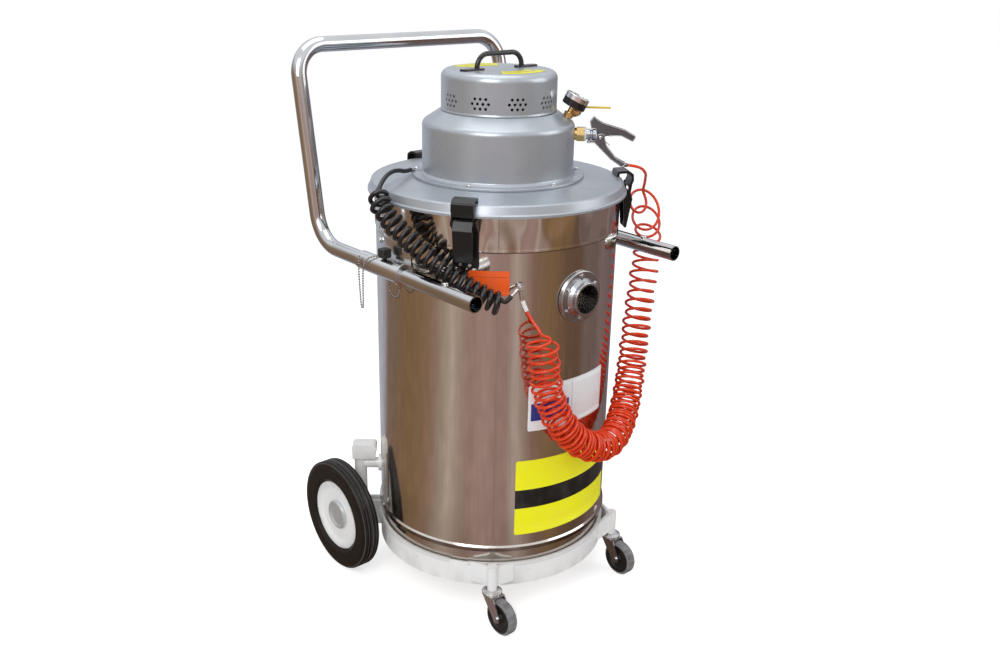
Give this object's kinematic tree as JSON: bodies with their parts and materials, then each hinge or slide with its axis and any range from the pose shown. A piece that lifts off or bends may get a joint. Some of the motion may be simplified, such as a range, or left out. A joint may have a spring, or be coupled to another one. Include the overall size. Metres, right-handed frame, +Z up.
{
  "type": "air powered drum vacuum",
  "caption": "Air-operated stainless drum vacuum on a ring trolley with push handle, static-ground cable, latched head and front hose inlet.",
  "frame": {"origin": "on the floor, under the drum's axis", "axes": "+Z up; -Y is the front, where the hose inlet and the casters are; +X is the side of the air valve and gauge"},
  "size_m": [0.6653, 0.6652, 1.156],
  "materials": {
    "steel_bright": "polished stainless steel",
    "head_paint": "silver-grey metallic paint",
    "white_paint": "white gloss powder coat",
    "white_plastic": "white moulded nylon",
    "tyre_rubber": "black ribbed rubber",
    "caster_rubber": "grey rubber tread on a dark core",
    "chrome": "bright chrome",
    "zinc": "zinc plate",
    "black_metal": "black semi-gloss coat",
    "black_plastic": "black moulded knob",
    "brass": "machined brass",
    "yellow_vinyl": "yellow dipped vinyl",
    "cast_grey": "cast zinc alloy",
    "glass": "clear lens",
    "gauge_black": "black enamel case with white dial",
    "filter_media": "pleated media",
    "foam": "open foam",
    "gasket": "foam rubber gasket",
    "orange_cord": "glossy orange-red nylon jacket",
    "black_cord": "black curly cord jacket"
  },
  "bodies": {
    "base": {"drum_shell": "steel_bright", "inlet_fitting": "cast_grey", "inlet_gasket": "gasket", "inlet_screws": "zinc", "inlet_deflector": "steel_bright", "trolley_ring": "white_paint", "ring_edge_trim": "white_plastic", "caster_sockets": "white_paint", "axle_posts": "white_paint", "post_caps": "black_plastic", "stub_axles": "zinc", "sleeve_left": "zinc", "sleeve_right": "zinc", "bead_chain": "chrome", "latch_bases": "black_metal", "latch_rivets": "zinc", "ground_stud": "zinc", "bond_cord_leads": "black_cord", "bond_cord_coil": "black_cord", "ground_cable_leads": "orange_cord", "ground_cable_coil": "orange_cord"},
    "head": {"lid_pan": "head_paint", "lid_gasket": "gasket", "head_lower_shell": "head_paint", "head_upper_shell": "head_paint", "flange_screws": "zinc", "bond_lug": "zinc", "carry_handle": "chrome", "ejector_body": "cast_grey", "silencer": "foam", "filter_cartridge": "filter_media", "gauge_case": "gauge_black", "gauge_lens": "glass", "gauge_fitting": "brass", "valve_body": "brass", "air_coupling": "brass", "air_nipple": "zinc", "clamp_jaw_lower": "cast_grey"},
    "push_handle": {"push_handle": "chrome"},
    "rear_wheel_left": {"tyre_left": "tyre_rubber", "wheel_rim_left": "white_paint"},
    "caster_fork_left": {"caster_fork_left": "zinc"},
    "caster_wheel_left": {"caster_wheel_left": "caster_rubber"},
    "rear_wheel_right": {"tyre_right": "tyre_rubber", "wheel_rim_right": "white_paint"},
    "caster_fork_right": {"caster_fork_right": "zinc"},
    "caster_wheel_right": {"caster_wheel_right": "caster_rubber"},
    "snap_button_left": {"snap_button_left": "chrome"},
    "clamp_knob_left": {"clamp_knob_left": "black_plastic"},
    "snap_button_right": {"snap_button_right": "chrome"},
    "clamp_knob_right": {"clamp_knob_right": "black_plastic"},
    "latch_lever_left": {"latch_lever_left": "black_metal"},
    "latch_hook_left": {"latch_hook_left": "black_metal"},
    "latch_lever_right": {"latch_lever_right": "black_metal"},
    "latch_hook_right": {"latch_hook_right": "black_metal"},
    "latch_lever_rear": {"latch_lever_rear": "black_metal"},
    "latch_hook_rear": {"latch_hook_rear": "black_metal"},
    "gauge_needle": {"gauge_needle": "black_metal"},
    "valve_lever": {"valve_lever": "yellow_vinyl"},
    "clamp_jaw_upper": {"clamp_jaw_upper": "cast_grey"}
  },
  "joints": [
    {"name": "rear_wheel_left_spin", "type": "hinge", "parent": "base", "child": "rear_wheel_left", "pos_m": [-0.283, 0.19, 0.125], "axis": [1, 0, 0], "continuous": true},
    {"name": "caster_left_swivel", "type": "hinge", "parent": "base", "child": "caster_fork_left", "pos_m": [-0.178, -0.212, 0.1], "axis": [0, 0, 1], "continuous": true},
    {"name": "caster_left_roll", "type": "hinge", "parent": "caster_fork_left", "child": "caster_wheel_left", "pos_m": [-0.178, -0.245, 0.038], "axis": [1, 0, 0], "continuous": true},
    {"name": "rear_wheel_right_spin", "type": "hinge", "parent": "base", "child": "rear_wheel_right", "pos_m": [0.283, 0.19, 0.125], "axis": [1, 0, 0], "continuous": true},
    {"name": "caster_right_swivel", "type": "hinge", "parent": "base", "child": "caster_fork_right", "pos_m": [0.178, -0.212, 0.1], "axis": [0, 0, 1], "continuous": true},
    {"name": "caster_right_roll", "type": "hinge", "parent": "caster_fork_right", "child": "caster_wheel_right", "pos_m": [0.178, -0.245, 0.038], "axis": [1, 0, 0], "continuous": true},
    {"name": "handle_slide", "type": "slide", "parent": "base", "child": "push_handle", "axis": [0, 1, 0], "range_m": [-0.085, 0.115]},
    {"name": "snap_button_left_press", "type": "slide", "parent": "push_handle", "child": "snap_button_left", "axis": [0, 0, -1], "range_m": [0, 0.004], "stiffness_N_per_m": 1500, "springref_m": -0.002},
    {"name": "clamp_knob_left_turn", "type": "hinge", "parent": "base", "child": "clamp_knob_left", "pos_m": [-0.27, 0.02, 0.775], "axis": [0, 0, 1], "continuous": true},
    {"name": "snap_button_right_press", "type": "slide", "parent": "push_handle", "child": "snap_button_right", "axis": [0, 0, -1], "range_m": [0, 0.004], "stiffness_N_per_m": 1500, "springref_m": -0.002},
    {"name": "clamp_knob_right_turn", "type": "hinge", "parent": "base", "child": "clamp_knob_right", "pos_m": [0.27, 0.02, 0.775], "axis": [0, 0, 1], "continuous": true},
    {"name": "head_lift", "type": "slide", "parent": "base", "child": "head", "axis": [0, 0, 1], "range_m": [0, 0.35], "deforming": ["bond_cord_leads", "bond_cord_coil", "ground_cable_leads", "ground_cable_coil"]},
    {"name": "latch_left_open", "type": "hinge", "parent": "base", "child": "latch_lever_left", "pos_m": [-0.21682, -0.15753, 0.862], "axis": [-0.5878, 0.809, 0], "range_deg": [0, 95]},
    {"name": "latch_left_hook", "type": "hinge", "parent": "latch_lever_left", "child": "latch_hook_left", "pos_m": [-0.2156, -0.15665, 0.851], "axis": [-0.5878, 0.809, 0], "range_deg": [-122, 0]},
    {"name": "latch_right_open", "type": "hinge", "parent": "base", "child": "latch_lever_right", "pos_m": [0.22476, -0.14596, 0.862], "axis": [-0.5446, -0.8387, 0], "range_deg": [0, 95]},
    {"name": "latch_right_hook", "type": "hinge", "parent": "latch_lever_right", "child": "latch_hook_right", "pos_m": [0.22351, -0.14515, 0.851], "axis": [-0.5446, -0.8387, 0], "range_deg": [-122, 0]},
    {"name": "latch_rear_open", "type": "hinge", "parent": "base", "child": "latch_lever_rear", "pos_m": [0, 0.268, 0.862], "axis": [1, 0, 0], "range_deg": [0, 95]},
    {"name": "latch_rear_hook", "type": "hinge", "parent": "latch_lever_rear", "child": "latch_hook_rear", "pos_m": [0, 0.2665, 0.851], "axis": [1, 0, 0], "range_deg": [-122, 0]},
    {"name": "gauge_needle_turn", "type": "hinge", "parent": "head", "child": "gauge_needle", "pos_m": [0.1136, -0.10593, 1.05394], "axis": [-0.3206, 0.299, -0.8988], "range_deg": [0, 270], "stiffness_Nm_per_rad": 0.0005},
    {"name": "valve_lever_turn", "type": "hinge", "parent": "head", "child": "valve_lever", "pos_m": [0.13809, -0.0801, 1.0242], "axis": [0.3206, -0.299, 0.8988], "range_deg": [0, 90]},
    {"name": "clamp_squeeze", "type": "hinge", "parent": "head", "child": "clamp_jaw_upper", "pos_m": [0.15066, -0.14049, 0.98], "axis": [0.682, 0.7314, 0], "range_deg": [0, 20], "stiffness_Nm_per_rad": 2, "springref_deg": -20.05}
  ],
  "couplings": [
    {"joint": "latch_left_hook", "follows": "latch_left_open", "ratio": -1.28},
    {"joint": "latch_right_hook", "follows": "latch_right_open", "ratio": -1.28},
    {"joint": "latch_rear_hook", "follows": "latch_rear_open", "ratio": -1.28}
  ]
}
